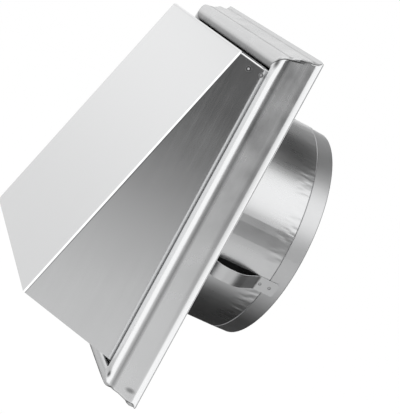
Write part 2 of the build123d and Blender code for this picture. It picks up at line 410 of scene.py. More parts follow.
@dataclass(frozen=True)
class WeldDot:
    """A small round spot weld: a dark rim round a rough middle.

    Attributes:
        across: What at measures.
        at: Its middle across the piece.
        depth: Y of its middle.
        radius: Its radius.
        tone: Factor on the metal's reflectance on its rim.
        rough: Roughness added inside it.
        rim: Shares of the radius between which the dark rim sets in.
        edge: Shares of the radius between which the weld ends.
    """

    across: Across
    at: float
    depth: float
    radius: float
    tone: float = 0.15
    rough: float = 0.4
    rim: tuple[float, float] = (0.4, 0.8)
    edge: tuple[float, float] = (1.1, 1.5)

    def masks(self, wires: Wiring, place: bpy.types.NodeSocket) -> tuple[bpy.types.NodeSocket, ...]:
        """Builds the weld's masks.

        Args:
            wires: The material's wiring.
            place: Socket with the place on the piece.

        Returns:
            The masks of its tone, 1 on the rim, and of its roughness, 1 inside.
        """
        aside = wires.maths("SUBTRACT", wires.across(place, self.across), self.at)
        along = wires.maths("SUBTRACT", wires.depth(place), self.depth)
        squares = [wires.maths("MULTIPLY", side, side) for side in (aside, along)]
        distance = wires.maths("SQRT", wires.maths("ADD", *squares))
        distance = wires.maths("DIVIDE", distance, self.radius)
        inside = wires.fade(distance, *self.edge, 1.0, 0.0)
        return wires.maths("MULTIPLY", wires.fade(distance, *self.rim), inside), inside


@dataclass(frozen=True)
class PaintedShadeSpot:
    """A soft spot of painted shade on a sheet.

    Attributes:
        place: Its middle.
        size: Half its width along X, Y and Z.
        tone: Factor on the metal's reflectance in its middle.
        hollow: Share of its size at which it is darkest, with the metal inside left bright.
        rough: Roughness added in its middle.
        border: Shares of its size between which it fades out.
        hollow_border: Share of the hollow inside which the metal is as bright as the rest.
    """

    place: tuple[float, float, float]
    size: tuple[float, float, float]
    tone: float
    hollow: float = 0.0
    rough: float = 0.1
    border: tuple[float, float] = (0.2, 1.1)
    hollow_border: float = 0.6

    def masks(self, wires: Wiring, place: bpy.types.NodeSocket) -> tuple[bpy.types.NodeSocket, ...]:
        """Builds the spot's masks.

        Args:
            wires: The material's wiring.
            place: Socket with the place on the piece.

        Returns:
            The masks of its tone and of its roughness, here the same.
        """
        offset = wires.vector_maths("SUBTRACT", place, self.place)
        distance = wires.vector_maths("LENGTH", wires.vector_maths("DIVIDE", offset, self.size))
        mask = wires.fade(distance, *self.border, 1.0, 0.0)
        if self.hollow:
            inside = wires.fade(distance, self.hollow_border * self.hollow, self.hollow)
            mask = wires.maths("MULTIPLY", mask, inside)
        return mask, mask


DIMPLES = (
    # painted shade at the long dimple of the upper right, lower right, upper left and lower left corner
    PaintedShadeSpot((110.2 * MM, -23.3 * MM, 107.6 * MM), (2.8 * MM, 2.2 * MM, 5.6 * MM), 0.06, 0.42),
    PaintedShadeSpot((110.8 * MM, -22.7 * MM, -104.4 * MM), (1.8 * MM, 1.5 * MM, 2.8 * MM), 0.05),
    PaintedShadeSpot((-110.0 * MM, -23.6 * MM, 107.0 * MM), (2.2 * MM, 1.5 * MM, 3.0 * MM), 0.3, 0.6),
    PaintedShadeSpot((-110.6 * MM, -23.3 * MM, -106.0 * MM), (2.0 * MM, 1.4 * MM, 2.8 * MM), 0.2),
)


@dataclass(frozen=True)
class SheetGrain:
    """Shared group: rolling lines, soft blotches and a few wipe marks in metal sheet.

    Attributes:
        name: Name of the group.
        line_scale: Fine rolling lines per metre.
        streak_ratio: How many times coarser the streaks among them are.
        blotch_scale: Blotches per metre.
        wave_scale: Slow waves per metre.
        wipe_scale: Wipe marks per metre.
        line_share: Share of the fine lines in the grain. The streaks are the rest.
        blotch_share: Share of the blotches in the patches. The wipe marks are the rest.
        grain_in_tone: How much of the grain shows in the tone.
        grain_in_height: How much of the grain shows in the height.
    """

    name: str = "sheet_grain"
    line_scale: float = 5200.0
    streak_ratio: float = 7.0
    blotch_scale: float = 42.0
    wave_scale: float = 16.0
    wipe_scale: float = 120.0
    line_share: float = 0.55
    blotch_share: float = 0.7
    grain_in_tone: float = 0.4
    grain_in_height: float = 0.02

    @staticmethod
    def centred(wires: Wiring, first: object, second: object, share: float,
                strength: object) -> bpy.types.NodeSocket:
        """Blends two noises round zero.

        Args:
            wires: The group's wiring.
            first: One noise.
            second: The other noise.
            share: Share of the first one.
            strength: Factor on the blend.

        Returns:
            The blend's socket.
        """
        blend = wires.maths("MULTIPLY_ADD", first, share, wires.maths("MULTIPLY", second, 1.0 - share))
        return wires.maths("MULTIPLY", wires.maths("SUBTRACT", blend, NOISE_MEAN), strength)

    def build(self) -> bpy.types.ShaderNodeTree:
        """Makes the group.

        Returns:
            The group: stretches and strengths in, a roughness shift, a tone shift and a height out.
        """
        tree = new_group(
            self.name,
            {f"Stretch {axis}": 1.0 for axis in "XYZ"} | {"Lines": 0.5, "Blotches": 0.5, "Waves": 0.5},
            ("Rough Shift", "Tone Shift", "Height"),
        )
        wires = Wiring(tree)
        start, end = tree.nodes["start"], tree.nodes["end"]
        place = wires.node("ShaderNodeTexCoord").outputs["Object"]
        stretch = wires.node("ShaderNodeCombineXYZ")
        for axis, socket in zip("XYZ", stretch.inputs):
            wires.feed(start.outputs[f"Stretch {axis}"], socket)
        drawn = wires.vector_maths("MULTIPLY", place, stretch.outputs[0])
        lines = wires.noise(drawn, self.line_scale, detail=2.0, roughness=0.6)
        streaks = wires.noise(drawn, self.line_scale / self.streak_ratio, detail=2.0)
        wipes = wires.noise(drawn, self.wipe_scale, detail=3.0, roughness=0.6)
        blotches = wires.noise(place, self.blotch_scale, detail=3.0, roughness=0.55)
        waves = wires.noise(place, self.wave_scale, detail=1.0, roughness=0.4)
        grain = self.centred(wires, lines, streaks, self.line_share, start.outputs["Lines"])
        patches = self.centred(wires, blotches, wipes, self.blotch_share, start.outputs["Blotches"])
        bends = wires.maths("MULTIPLY", wires.maths("SUBTRACT", waves, NOISE_MEAN), start.outputs["Waves"])
        wires.feed(wires.maths("ADD", grain, patches), end.inputs["Rough Shift"])
        wires.feed(wires.maths("MULTIPLY_ADD", grain, self.grain_in_tone, patches), end.inputs["Tone Shift"])
        wires.feed(wires.maths("MULTIPLY_ADD", grain, self.grain_in_height, bends), end.inputs["Height"])
        return tree


@dataclass(frozen=True)
class SteelFinish:
    """A satin sheet steel: its tone, gloss, grain and how flat it lies.

    Attributes:
        name: Name of the material.
        tone: Reflectance of the bare metal.
        roughness: Mean roughness.
        along: Direction of the rolling lines.
        lines: Strength of the rolling lines.
        blotches: Strength of the soft patches.
        waves: Strength of the slow waves in the sheet.
        wave_height: Height that a full wave stands for, in metres.
        marks: Bands and spots of painted shade or highlight, some of them duller, and weld dots on the sheet.
        grain_to_rough: Roughness that a full shift of the grain adds.
        grain_to_tone: Tone that a full shift of the grain adds.
        tint: Factors on red, green and blue that make the metal a little cool.
    """

    name: str
    tone: float = 0.74
    roughness: float = 0.2
    along: Along = Along.Z
    lines: float = 0.5
    blotches: float = 0.5
    waves: float = 0.5
    wave_height: float = 0.4 * MM
    marks: tuple[PaintedLightBand | WeldDot | PaintedShadeSpot, ...] = ()
    grain_to_rough: float = 0.35
    grain_to_tone: float = 0.1
    tint: tuple[float, float, float] = (0.992, 0.997, 1.004)

    def relief(self, wires: Wiring, place: bpy.types.NodeSocket,
               height: bpy.types.NodeSocket) -> bpy.types.NodeSocket:
        """Height of the sheet's surface, to which a finish adds a relief of its own."""
        return height

    def build(self, grain: bpy.types.ShaderNodeTree) -> bpy.types.Material:
        """Makes the material.

        Args:
            grain: The shared sheet group.

        Returns:
            The material.
        """
        material, wires, shader = new_material(self.name)
        sheet = wires.node("ShaderNodeGroup", node_tree=grain)
        settings = {f"Stretch {axis}": factor for axis, factor in zip("XYZ", self.along.value)}
        settings |= {"Lines": self.lines, "Blotches": self.blotches, "Waves": self.waves}
        for name, value in settings.items():
            sheet.inputs[name].default_value = value
        shader.inputs["Metallic"].default_value = 1.0
        place = wires.node("ShaderNodeTexCoord").outputs["Object"]
        rough, tone = (wires.maths("MULTIPLY_ADD", sheet.outputs[shift], factor, mean, clamp=True)
                       for shift, factor, mean in (("Rough Shift", self.grain_to_rough, self.roughness),
                                                   ("Tone Shift", self.grain_to_tone, self.tone)))
        # the marks' painted shade and highlights go into the tone, their dullness into the roughness
        for mark in self.marks:
            shade, dull = mark.masks(wires, place)
            rough = wires.maths("MULTIPLY_ADD", dull, mark.rough, rough, clamp=True)
            tone = wires.maths("MULTIPLY", tone, wires.maths("MULTIPLY_ADD", shade, mark.tone - 1.0, 1.0))
        wires.feed(rough, shader.inputs["Roughness"])
        cool = wires.node("ShaderNodeCombineColor")
        for factor, socket in zip(self.tint, cool.inputs):
            wires.feed(wires.maths("MULTIPLY", tone, factor), socket)
        wires.feed(cool.outputs[0], shader.inputs["Base Color"])
        bump = wires.node("ShaderNodeBump")
        bump.inputs["Strength"].default_value = 1.0
        bump.inputs["Distance"].default_value = self.wave_height
        wires.feed(self.relief(wires, place, sheet.outputs["Height"]), bump.inputs["Height"])
        wires.feed(bump.outputs["Normal"], shader.inputs["Normal"])
        return material


@dataclass(frozen=True)
class CollarFinish(SteelFinish):
    """Rolled sheet with short ripples beside the groove of its end band.

    Attributes:
        ripple_scale: Ripples per metre round the collar.
        ripple_start: Y at which they begin.
        ripple_full: Y at which they are strongest.
        ripple_end: Y at which the groove stops them.
        ripple_border: Length over which it stops them.
        ripple_height: Height of a ripple against a full wave of the sheet.
        ripple_stretch: Factors on X, Y and Z that draw the ripples out along the collar.
    """

    ripple_scale: float = 250.0
    ripple_start: float = 40.0 * MM
    ripple_full: float = 50.0 * MM
    ripple_end: float = 54.5 * MM
    ripple_border: float = 0.5 * MM
    ripple_height: float = 1.1
    ripple_stretch: tuple[float, float, float] = (1.0, 0.3, 1.0)

    def relief(self, wires: Wiring, place: bpy.types.NodeSocket,
               height: bpy.types.NodeSocket) -> bpy.types.NodeSocket:
        """Adds the ripples to the sheet's height.

        Args:
            wires: The material's wiring.
            place: Socket with the place on the piece.
            height: Height of the plain sheet.

        Returns:
            The whole height's socket.
        """
        drawn = wires.vector_maths("MULTIPLY", place, self.ripple_stretch)
        noise = wires.noise(drawn, self.ripple_scale, detail=1.0, roughness=0.4)
        ripples = wires.maths("SUBTRACT", noise, NOISE_MEAN)
        depth = wires.depth(place)
        stop = wires.fade(depth, self.ripple_end - self.ripple_border, self.ripple_end, 1.0, 0.0)
        mask = wires.maths("MULTIPLY", wires.fade(depth, self.ripple_start, self.ripple_full), stop)
        ripples = wires.maths("MULTIPLY", ripples, wires.maths("MULTIPLY", mask, self.ripple_height))
        return wires.maths("ADD", height, ripples)


@dataclass(frozen=True)
class FoamFinish:
    """Closed-cell foam: nearly black, dull, with small cells.

    Attributes:
        name: Name of the material.
        tone: Reflectance.
        cell_scale: Cells per metre.
        cell_depth: Depth of a cell, in metres.
        dust_scale: Patches of dust per metre.
        dust_tone: Reflectance that full dust adds.
        dust_range: Values of the dust between which the roughness rises.
        roughness: Roughness at both ends of that range.
    """

    name: str = "cellular_foam"
    tone: float = 0.035
    cell_scale: float = 1100.0
    cell_depth: float = 0.3 * MM
    dust_scale: float = 90.0
    dust_tone: float = 0.03
    dust_range: tuple[float, float] = (0.3, 0.7)
    roughness: tuple[float, float] = (0.78, 0.92)

    def build(self) -> bpy.types.Material:
        """Makes the material.

        Returns:
            The material.
        """
        material, wires, shader = new_material(self.name)
        place = wires.node("ShaderNodeTexCoord").outputs["Object"]
        cells = wires.node("ShaderNodeTexVoronoi", feature="F1")
        wires.feed(place, cells.inputs["Vector"])
        cells.inputs["Scale"].default_value = self.cell_scale
        dust = wires.noise(place, self.dust_scale, detail=3.0)
        tone = wires.maths("MULTIPLY_ADD", dust, self.dust_tone, self.tone)
        colour = wires.node("ShaderNodeCombineColor")
        for socket in colour.inputs:
            wires.feed(tone, socket)
        wires.feed(colour.outputs[0], shader.inputs["Base Color"])
        wires.feed(wires.fade(dust, *self.dust_range, *self.roughness), shader.inputs["Roughness"])
        bump = wires.node("ShaderNodeBump")
        bump.inputs["Distance"].default_value = self.cell_depth
        wires.feed(cells.outputs["Distance"], bump.inputs["Height"])
        wires.feed(bump.outputs["Normal"], shader.inputs["Normal"])
        return material


def rounded_path(corners: list[tuple[float, float]], radii: list[float], steps: int) -> list[Vector]:
    """Rounds the inner corners of an open path in a plane.

    Args:
        corners: The path's corner points.
        radii: Radius at each corner but the first and the last.
        steps: Segments in each round corner.

    Returns:
        The points of the rounded path.
    """
    points = [Vector(corners[0])]
    for before, here, after, radius in zip(corners, corners[1:], corners[2:], radii):
        corner = Vector(here)
        back, ahead = (Vector(before) - corner).normalized(), (Vector(after) - corner).normalized()
        half = back.angle(ahead) / 2
        middle = corner + (back + ahead).normalized() * (radius / math.sin(half))
        reach = radius / math.tan(half)
        first, last = corner + back * reach - middle, corner + ahead * reach - middle
        sweep = first.angle_signed(last)
        points += [middle + Matrix.Rotation(-sweep * step / steps, 2) @ first for step in range(steps + 1)]
    points.append(Vector(corners[-1]))
    return points


def finish_piece(name: str, bm: bmesh.types.BMesh, material: bpy.types.Material,
                 body: str) -> bpy.types.Object:
    """Turns a bmesh into a smooth piece that rides on a body; faces parallel to the wall stay flat.

    Args:
        name: Name of the piece.
        bm: Its shape, in metres. It is freed.
        material: Its finish.
        body: Body that carries the piece.

    Returns:
        The piece.
    """
    mesh = bpy.data.meshes.new(name)
    bm.to_mesh(mesh)
    bm.free()
    mesh.set_sharp_from_angle(angle=math.radians(SHARP_ANGLE))
    for face in mesh.polygons:
        face.use_smooth = abs(face.normal.y) < FLAT_COSINE
    mesh.materials.append(material)
    piece = new_object(name, mesh)
    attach(piece, body)
    LOG.info("%s: %d faces on %s", name, len(mesh.polygons), body)
    return piece


def dress(node: str, material: bpy.types.Material) -> None:
    """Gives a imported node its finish.

    Args:
        node: Name of the node.
        material: The finish.
    """
    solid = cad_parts[node]
    solid.data.materials.clear()
    solid.data.materials.append(material)
    LOG.info("%s: dressed in %s", node, material.name)


@dataclass(frozen=True)
class CornerWave:
    """How the skirt's ridge wanders at one corner, as pressed sheet does.

    Attributes:
        right: Side of the corner, 1 for right and -1 for left.
        upper: The same, 1 for above and -1 for below.
        reach: Distance along the sides that the wave fades over.
        inward: Share of the way from the valley to the wall, and how far the ridge there moves along
            Z, towards the middle, in millimetres.
    """

    right: int
    upper: int
    reach: float
    inward: tuple[tuple[float, float], ...]


def between(stations: tuple[tuple[float, float], ...], share: float) -> float:
    """Reads a value between stations, smoothly.

    Args:
        stations: Shares in rising order, each with its value.
        share: Where the value is read.

    Returns:
        The value there.
    """
    for (low, first), (high, last) in zip(stations, stations[1:]):
        if share <= high:
            blend = max(0.0, (share - low) / (high - low))
            return first + (last - first) * blend * blend * (3 - 2 * blend)
    return stations[-1][1]


@dataclass
class WallFrame:
    """The pressed square frame: floor, raised bead, flared skirt and lip on the wall.

    Attributes:
        sheet: Thickness of the sheet.
        floor_front: Y of the floor's front face.
        bead_inner: Half width at the foot of the bead.
        bead_width: Width of the bead.
        bead_height: Crest of the bead above the floor.
        valley: Valley between bead and skirt, in front of the floor.
        flare: Angle of the skirt, in degrees.
        rim_height: Distance from the wall at which the skirt's rim starts to flare more.
        rim_flare: Angle of that rim, in degrees.
        lip_width: Width of the lip on the wall.
        seam: Half width at which the border meets the floor.
        ends_in: How far the bead's inner foot comes in above and below the hood.
        ends_fade: Length along the section over which it runs out.
        bends: Radii at the floor, the bead's two shoulders, the valley, the rim and the lip.
        bend_steps: Segments in each bend.
        corner_steps: Segments round each corner.
        side_shares: Cuts across half a side, as shares from its corner.
        corner_radii: Share of the section's length and the corner's radius there, in millimetres.
        waves: Wave of the skirt's ridge at each corner.
        dimples: The long dimple pressed into the bead at each corner, placed and sized like the painted shade
            on it.
        dimple_depth: Depth of a dimple.
        spacing: Largest distance between points along the section.
        wave_from: Share of the bead's width outside which the corners wander.
    """

    sheet: float = 0.8 * MM
    floor_front: float = -17.0 * MM
    bead_inner: float = 104.4 * MM
    bead_width: float = 8.8 * MM
    bead_height: float = 6.8 * MM
    valley: float = 0.6 * MM
    flare: float = 17.5
    rim_height: float = 2.5 * MM
    rim_flare: float = 49.0
    lip_width: float = 12.0 * MM
    seam: float = 102.0 * MM
    ends_in: float = 4.0 * MM
    ends_fade: float = 14.5 * MM
    bends: tuple[float, ...] = (1.2 * MM, 2.6 * MM, 5.8 * MM, 1.5 * MM, 5.0 * MM, 0.6 * MM)
    bend_steps: int = 7
    corner_steps: int = 10
    side_shares: tuple[float, ...] = (
        0.01, 0.022, 0.036, 0.052, 0.072, 0.1, 0.14, 0.2, 0.29, 0.4, 0.54, 0.7, 0.86, 1.0,
    )
    corner_radii: tuple[tuple[float, float], ...] = (
        (0.0, 1.0), (0.05, 1.2), (0.14, 2.0), (0.2, 2.8), (0.3, 3.6), (0.36, 3.0), (0.41, 1.6), (0.43, 1.1),
        (0.6, 1.1), (0.78, 0.8), (0.84, 0.5), (1.0, 0.5),
    )
    waves: tuple[CornerWave, ...] = (
        CornerWave(1, 1, 4.0 * MM,
                   ((0.0, -0.6), (0.25, -1.1), (0.5, -0.3), (0.74, 0.8), (0.92, 0.8), (1.0, 0.7))),
        CornerWave(1, -1, 11.0 * MM,
                   ((0.0, 1.8), (0.3, 2.6), (0.55, 2.6), (0.75, 3.4), (0.9, 4.8), (1.0, 4.3))),
        CornerWave(-1, 1, 7.0 * MM, ((0.0, 0.4), (0.25, 0.9), (0.5, -0.2), (0.75, 1.1), (1.0, 0.1))),
        CornerWave(-1, -1, 8.0 * MM, ((0.0, 0.9), (0.3, 1.7), (0.55, 1.0), (0.8, 1.9), (1.0, 0.3))),
    )
    dimples: tuple[PaintedShadeSpot, ...] = DIMPLES
    dimple_depth: float = 0.7 * MM
    spacing: float = 1.3 * MM
    wave_from: float = 0.6

    def section(self) -> list[Vector]:
        """Draws the section of one side, from the floor to the lip's inner edge.

        Returns:
            Half width and Y of its points.
        """
        outer = self.bead_inner + self.bead_width
        slope = math.tan(math.radians(self.flare))
        spread = outer + (self.valley - self.floor_front) * slope
        knee = spread - self.rim_height * slope
        rim = knee + self.rim_height * math.tan(math.radians(self.rim_flare))
        crest = self.floor_front - self.bead_height
        corners = [
            (self.seam, self.floor_front), (self.bead_inner, self.floor_front), (self.bead_inner, crest),
            (outer, crest), (outer, self.floor_front - self.valley), (knee, -self.rim_height), (rim, 0.0),
            (spread - self.lip_width, 0.0),
        ]
        rounded = rounded_path(corners, list(self.bends), self.bend_steps)
        fine = [rounded[0]]
        for point in rounded[1:]:
            start = fine[-1].copy()
            cuts = max(1, round((point - start).length / self.spacing))
            fine += [start.lerp(point, cut / cuts) for cut in range(1, cuts + 1)]
        return fine

    def ring_places(self, half: tuple[float, float], depth: float, radius: float) -> list[Vector]:
        """Places round a rectangle with round corners.

        Args:
            half: Half its width and half its height.
            depth: Its Y.
            radius: Radius of its corners.

        Returns:
            The places, from the first corner's start.
        """
        arcs = []
        for quarter in range(4):
            turn = math.radians(90 * quarter + 45)
            middle = Vector((math.copysign(half[0] - radius, math.cos(turn)), depth,
                             math.copysign(half[1] - radius, math.sin(turn))))
            angles = [math.radians(90 * quarter + 90 * step / self.corner_steps)
                      for step in range(self.corner_steps + 1)]
            arcs.append([middle + Vector((math.cos(angle), 0, math.sin(angle))) * radius for angle in angles])
        places = []
        for arc, following in zip(arcs, arcs[1:] + arcs[:1]):
            start, end = arc[-1], following[0]
            shares = [share / 2 for share in self.side_shares]
            shares += [1 - share for share in reversed(shares[:-1])]
            places += arc + [start.lerp(end, share) for share in shares]
        return places

    def border(self, bm: bmesh.types.BMesh) -> None:
        """Draws the border out ring by ring, from the floor over the bead to the lip.

        Args:
            bm: Where the border is built.
        """
        points = self.section()
        lengths = [0.0]
        for before, here in zip(points, points[1:]):
            lengths.append(lengths[-1] + (here - before).length)
        foot = self.bead_inner - self.seam
        rings = []
        for point, length in zip(points, lengths):
            radius = between(self.corner_radii, length / lengths[-1]) * MM
            shift = self.ends_in * between(((foot, 1.0), (foot + self.ends_fade, 0.0)), length)
            rings.append(self.ring_places((point.x, point.x - shift), point.y, radius))
        ring = [bm.verts.new(place) for place in rings[0]]
        edges = [bm.edges.new((ring[index - 1], ring[index])) for index in range(len(ring))]
        for places in rings[1:]:
            drawn = bmesh.ops.extrude_edge_only(bm, edges=edges)["geom"]
            fresh = [item for item in drawn if isinstance(item, bmesh.types.BMVert)]
            inner = set(ring)
            partner = {edge.other_vert(vert): vert for vert in fresh for edge in vert.link_edges
                       if edge.other_vert(vert) in inner}
            ring = [partner[vert] for vert in ring]
            for vert, place in zip(ring, places):
                vert.co = place
            edges = [bm.edges.get((ring[index - 1], ring[index])) for index in range(len(ring))]

    def wave_corners(self, bm: bmesh.types.BMesh) -> None:
        """Lets the ridge of the skirt wander at each corner.

        Args:
            bm: The border.
        """
        outer = self.bead_inner + self.wave_from * self.bead_width
        crest = self.floor_front - self.bead_height
        for vert in bm.verts:
            far, near = max(abs(vert.co.x), abs(vert.co.z)), min(abs(vert.co.x), abs(vert.co.z))
            if far < outer:
                continue
            for wave in self.waves:
                if vert.co.x * wave.right > 0 and vert.co.z * wave.upper > 0:
                    share = (vert.co.y - self.floor_front) / -self.floor_front
                    rise = between(((crest, 0.0), (self.floor_front, 1.0)), vert.co.y)
                    beside = math.exp(-((far - near) / wave.reach) ** 2)
                    vert.co.z -= wave.upper * between(wave.inward, share) * MM * rise * beside

    def press_dimples(self, bm: bmesh.types.BMesh) -> None:
        """Presses a long dimple into the bead at each corner.

        Args:
            bm: The border.
        """
        for vert in bm.verts:
            for dimple in self.dimples:
                offset = [(here - there) / size
                          for here, there, size in zip(vert.co, dimple.place, dimple.size)]
                press = self.dimple_depth * math.exp(-sum(share * share for share in offset))
                vert.co += Vector((-math.copysign(press, vert.co.x), press, 0.0)) * math.sqrt(0.5)

    def build(self, material: bpy.types.Material) -> bpy.types.Object:
        """Makes the frame.

        Args:
            material: Its finish.

        Returns:
            The piece, which stands for the wall_frame node.
        """
        bm = bmesh.new()
        self.border(bm)
        bmesh.ops.recalc_face_normals(bm, faces=bm.faces)
        self.wave_corners(bm)
        self.press_dimples(bm)
        bmesh.ops.solidify(bm, geom=bm.faces[:], thickness=self.sheet)
        self.add_floor(bm)
        piece = finish_piece("wall_frame_sheet", bm, material, "vent")
        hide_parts("wall_frame")
        return piece

    def add_floor(self, bm: bmesh.types.BMesh) -> None:
        """Adds the floor with its openings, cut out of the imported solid.

        Args:
            bm: The border, which the floor is added to.
        """
        solid = bmesh.new()
        solid.from_mesh(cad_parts["wall_frame"].data)
        bmesh.ops.remove_doubles(solid, verts=solid.verts, dist=MERGE_DISTANCE)
        for away, reach in ((Vector((1, 0, 0)), self.seam), (Vector((0, 0, 1)), self.seam - self.ends_in)):
            for side in (away, -away):
                bmesh.ops.bisect_plane(solid, geom=solid.verts[:] + solid.edges[:] + solid.faces[:],
                                       plane_co=side * reach, plane_no=side, clear_outer=True)
        holder = bpy.data.meshes.new("floor_cut")
        solid.to_mesh(holder)
        solid.free()
        bm.from_mesh(holder)
        bpy.data.meshes.remove(holder)


@dataclass
class SealRing:
    """Soft foam ring round the mouth of the duct, with round front edges.

    Attributes:
        inner: Inner radius.
        width: Radial width.
        foot: Y of the floor that it is glued to.
        thickness: Height above the floor.
        rounding: Radius of its front edges.
        steps: Steps round the ring.
        rounding_steps: Segments in each front edge.
        merge: Distance within which its points are joined.
    """

    inner: float = 75.4 * MM
    width: float = 5.5 * MM
    foot: float = -17.0 * MM
    thickness: float = 5.0 * MM
    rounding: float = 1.3 * MM
    steps: int = 160
    rounding_steps: int = 5
    merge: float = 0.01 * MM

    def build(self, material: bpy.types.Material) -> bpy.types.Object:
        """Makes the ring.

        Args:
            material: Its finish.

        Returns:
            The piece, which stands for the seal_ring node.
        """
        top = self.foot - self.thickness
        outer = self.inner + self.width
        corners = [(self.inner, self.foot), (self.inner, top), (outer, top), (outer, self.foot)]
        outline = rounded_path(corners, [self.rounding] * 2, self.rounding_steps)
        bm = bmesh.new()
        verts = [bm.verts.new((point.x, point.y, 0)) for point in outline]
        edges = [bm.edges.new(pair) for pair in zip(verts, verts[1:] + verts[:1])]
        bmesh.ops.spin(bm, geom=verts + edges, cent=(0, 0, 0), axis=(0, 1, 0), angle=2 * math.pi,
                       steps=self.steps, use_merge=True)
        bmesh.ops.remove_doubles(bm, verts=bm.verts, dist=self.merge)
        bmesh.ops.recalc_face_normals(bm, faces=bm.faces)
        piece = finish_piece("foam_seal", bm, material, "vent")
        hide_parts("seal_ring")
        return piece


@dataclass(frozen=True)
class StudioPanel:
    """A soft panel of the studio round the object, light or dark.

    Attributes:
        azimuth: Its middle, in degrees from +X towards +Y.
        half_width: Half its width, in degrees.
        low: Lower edge's elevation, in degrees.
        high: Upper edge's elevation, in degrees.
        level: Its brightness.
        soft: Width of its soft border, in degrees.
    """

    azimuth: float
    half_width: float
    low: float
    high: float
    level: float
    soft: float = 8.0


@dataclass
class Studio:
    """Plain white studio: pale floor, soft dome with a few panels, one large lamp and the camera.

    Attributes:
        base_levels: Elevation and brightness of the plain dome, from below to above.
        panels: Panels in the dome, each over the ones before it.
        floor_drop: Floor below the object.
        floor_size: Half width of the floor.
        camera_place: Place of the camera.
        camera_azimuth: Direction from the object to the camera, in degrees from +X towards +Y.
        camera_elevation: The same above the horizon, in degrees.
        camera_roll: Turn of the camera about its line of sight, in degrees.
        lens: Focal length, in millimetres.
        sensor: Height of the camera's sensor, in millimetres.
        floor_tone: Reflectance of the floor.
        floor_roughness: Its roughness.
        floor_glow: Brightness with which the camera sees it, where 1 is white.
        glow_share: Share of that brightness against the floor's own shading.
        lamp_size: Width of the lamp.
        lamp_power: Power of the lamp, in watts.
        lamp_place: Place of the lamp.
    """

    base_levels: tuple[tuple[float, float], ...] = (
        (-90.0, 0.5), (-25.0, 0.6), (-6.0, 0.84), (5.0, 1.02), (90.0, 1.02),
    )
    panels: tuple[StudioPanel, ...] = (
        # left, a little dimmed
        StudioPanel(183.0, 19.0, 7.0, 60.0, 0.84, 6.0),
        # right: dim below, dark at the vent's height, bright above
        StudioPanel(2.0, 34.0, -62.0, -8.0, 0.75, 9.0),
        StudioPanel(4.0, 27.0, -9.0, 15.0, 0.42, 12.0),
        StudioPanel(10.0, 19.0, -9.0, 15.0, 0.09, 9.0),
        StudioPanel(30.0, 26.0, 17.0, 60.0, 1.2, 9.0),
        # behind the wall's plane: dark in steps up to the zenith, and dark below
        StudioPanel(132.0, 28.0, 12.0, 42.0, 0.33, 10.0),
        StudioPanel(150.0, 24.0, 26.0, 50.0, 0.3, 8.0),
        StudioPanel(132.0, 30.0, 48.0, 62.0, 0.06, 8.0),
        StudioPanel(100.0, 75.0, 61.0, 100.0, 0.06, 8.0),
        StudioPanel(112.0, 68.0, -100.0, -18.0, 0.03, 12.0),
        StudioPanel(170.0, 13.0, -11.0, 3.5, 0.2, 5.0),
        # in front: a bright panel and a narrow dark one beside it
        StudioPanel(-55.0, 32.0, -40.0, 25.0, 1.3, 14.0),
        StudioPanel(-15.0, 11.0, -7.0, 20.0, 0.16, 7.0),
    )
    floor_drop: float = 0.45
    floor_size: float = 6.0
    camera_place: tuple[float, float, float] = (0.887507, -0.275469, 0.134287)
    camera_azimuth: float = -18.0564
    camera_elevation: float = 8.5586
    camera_roll: float = 28.545
    lens: float = 121.965
    sensor: float = 36.0
    floor_tone: float = 0.86
    floor_roughness: float = 0.9
    floor_glow: float = 1.05
    glow_share: float = 0.85
    lamp_size: float = 1.6
    lamp_power: float = 9.0
    lamp_place: tuple[float, float, float] = (0.3, -1.3, 1.7)

    def level_of(self, wires: Wiring, azimuth: bpy.types.NodeSocket,
                 elevation: bpy.types.NodeSocket) -> bpy.types.NodeSocket:
        """Builds the dome's brightness from a direction.

        Args:
            wires: The world's wiring.
            azimuth: Direction's azimuth, in degrees.
            elevation: Direction's elevation, in degrees.

        Returns:
            The brightness.
        """
        (low, first), *rest = self.base_levels
        level: object = first
        for high, last in rest:
            level = wires.mix(wires.fade(elevation, low, high), level, last)
            low = high
        for panel in self.panels:
            aside = wires.maths("WRAP", wires.maths("SUBTRACT", azimuth, panel.azimuth), 180.0, -180.0)
            aside = wires.maths("ABSOLUTE", aside)
            border = panel.soft / 2
            mask = wires.fade(aside, panel.half_width - border, panel.half_width + border, 1.0, 0.0)
            above = wires.fade(elevation, panel.low - border, panel.low + border)
            below = wires.fade(elevation, panel.high - border, panel.high + border, 1.0, 0.0)
            mask = wires.maths("MULTIPLY", mask, wires.maths("MULTIPLY", above, below))
            level = wires.mix(mask, level, panel.level)
        return level

    def build_world(self) -> None:
        """Makes the world: white to the camera, the dome with its panels to everything else."""
        world = bpy.data.worlds.new("studio")
        bpy.context.scene.world = world
        world.use_nodes = True
        wires = Wiring(world.node_tree)
        wires.tree.nodes.clear()
        right, back, up = wires.parts(wires.node("ShaderNodeTexCoord").outputs["Generated"])
        azimuth = wires.maths("DEGREES", wires.maths("ARCTAN2", back, right))
        elevation = wires.maths("DEGREES", wires.maths("ARCSINE", up))
        dome = wires.node("ShaderNodeBackground")
        wires.feed(self.level_of(wires, azimuth, elevation), dome.inputs["Strength"])
        plain = wires.node("ShaderNodeBackground")
        for background in (dome, plain):
            background.inputs["Color"].default_value = (1.0, 1.0, 1.0, 1.0)
        chosen = wires.node("ShaderNodeMixShader")
        wires.feed(wires.node("ShaderNodeLightPath").outputs["Is Camera Ray"], chosen.inputs[0])
        wires.feed(dome.outputs[0], chosen.inputs[1])
        wires.feed(plain.outputs[0], chosen.inputs[2])
        wires.feed(chosen.outputs[0], wires.node("ShaderNodeOutputWorld").inputs["Surface"])

